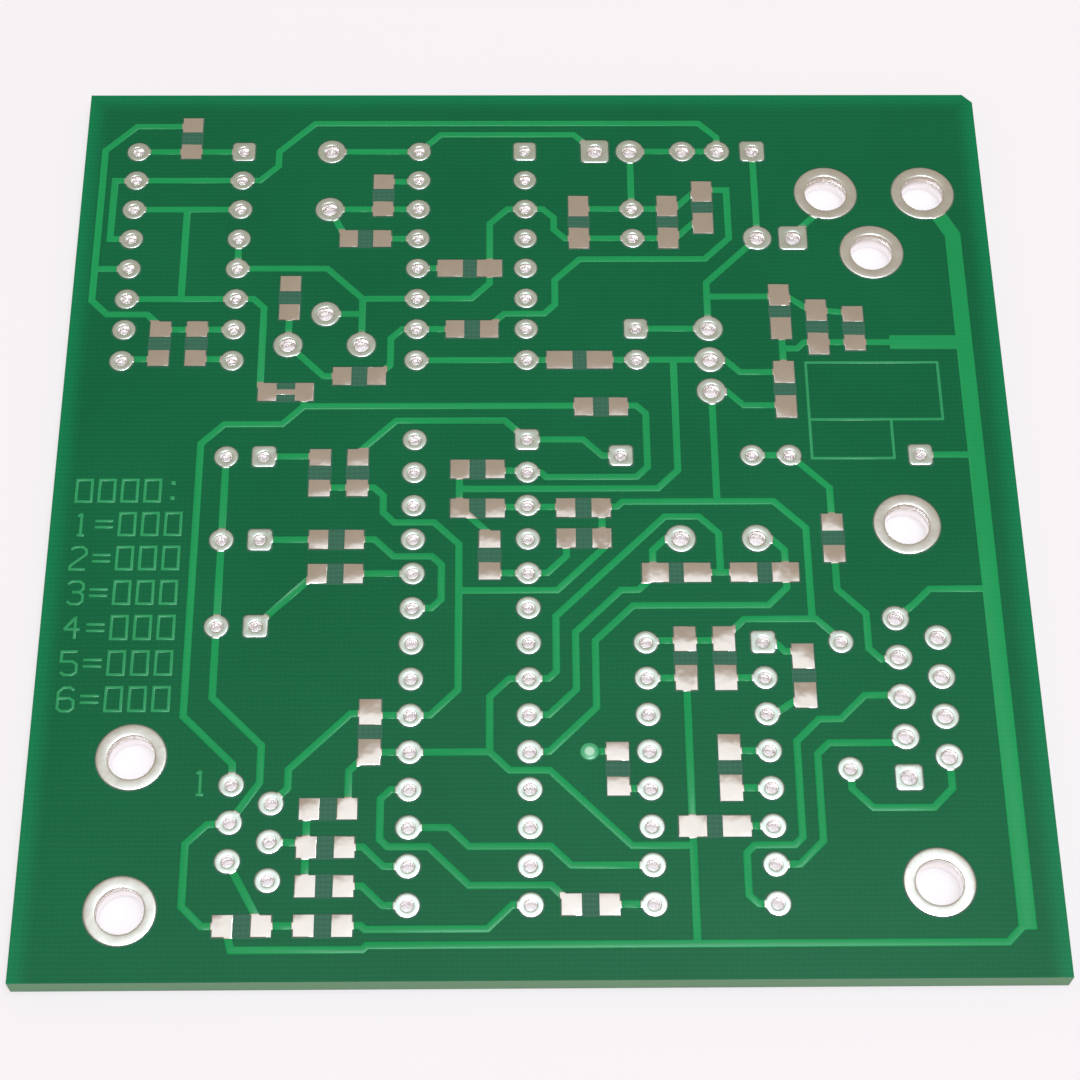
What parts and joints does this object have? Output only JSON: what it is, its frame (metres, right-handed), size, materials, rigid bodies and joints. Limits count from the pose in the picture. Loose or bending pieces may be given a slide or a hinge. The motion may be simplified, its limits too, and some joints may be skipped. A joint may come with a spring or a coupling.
{
  "type": "bare printed circuit board",
  "caption": "Flat green circuit board without its parts: drilled glass-epoxy sheet with masked copper tracks, plated holes and tinned surface lands.",
  "frame": {"origin": "middle of the board's outline, on its underside", "axes": "+Z out of the parts side; +Y towards the edge with the power jack and the header; +X towards the edge with the D connector"},
  "size_m": [0.0648, 0.067, 0.0017],
  "materials": {
    "laminate": "satin",
    "mask": "gloss",
    "mask_over_copper": "gloss",
    "tinned_copper": "bright, slightly domed solder coat"
  },
  "bodies": {
    "root": {"laminate": "laminate", "solder_mask_top": "mask", "solder_mask_bottom": "mask", "long_chip_lands": "tinned_copper", "left_chip_lands": "tinned_copper", "middle_chip_lands": "tinned_copper", "right_chip_lands": "tinned_copper", "led_lands": "tinned_copper", "crystal_lands": "tinned_copper", "regulator_lands": "tinned_copper", "transistor_lands": "tinned_copper", "header_lands": "tinned_copper", "tall_capacitor_lands": "tinned_copper", "supply_capacitor_lands": "tinned_copper", "disc_capacitor_lands": "tinned_copper", "sensor_lands": "tinned_copper", "wire_lands": "tinned_copper", "jack_lands": "tinned_copper", "jack_post_rings": "tinned_copper", "socket_lands": "tinned_copper", "socket_lock_rings": "tinned_copper", "power_jack_rings": "tinned_copper", "left_chip_pads": "tinned_copper", "middle_chip_pads": "tinned_copper", "header_pads": "tinned_copper", "regulator_pads": "tinned_copper", "bridge_pads": "tinned_copper", "led_pads": "tinned_copper", "long_chip_pads": "tinned_copper", "crystal_pads": "tinned_copper", "right_chip_pads": "tinned_copper", "jack_pads": "tinned_copper", "socket_pads": "tinned_copper", "covered_via": "mask_over_copper", "left_chip_tracks": "mask_over_copper", "header_tracks": "mask_over_copper", "middle_chip_tracks": "mask_over_copper", "capacitor_tracks": "mask_over_copper", "regulator_tracks": "mask_over_copper", "feed_tracks": "mask_over_copper", "led_tracks": "mask_over_copper", "long_chip_left_tracks": "mask_over_copper", "long_chip_right_tracks": "mask_over_copper", "crystal_tracks": "mask_over_copper", "jack_tracks": "mask_over_copper", "right_chip_tracks": "mask_over_copper", "socket_tracks": "mask_over_copper", "supply_rail": "mask_over_copper", "note_frames": "mask_over_copper", "pin_key": "mask_over_copper", "pin_one_mark": "mask_over_copper"}
  },
  "joints": []
}
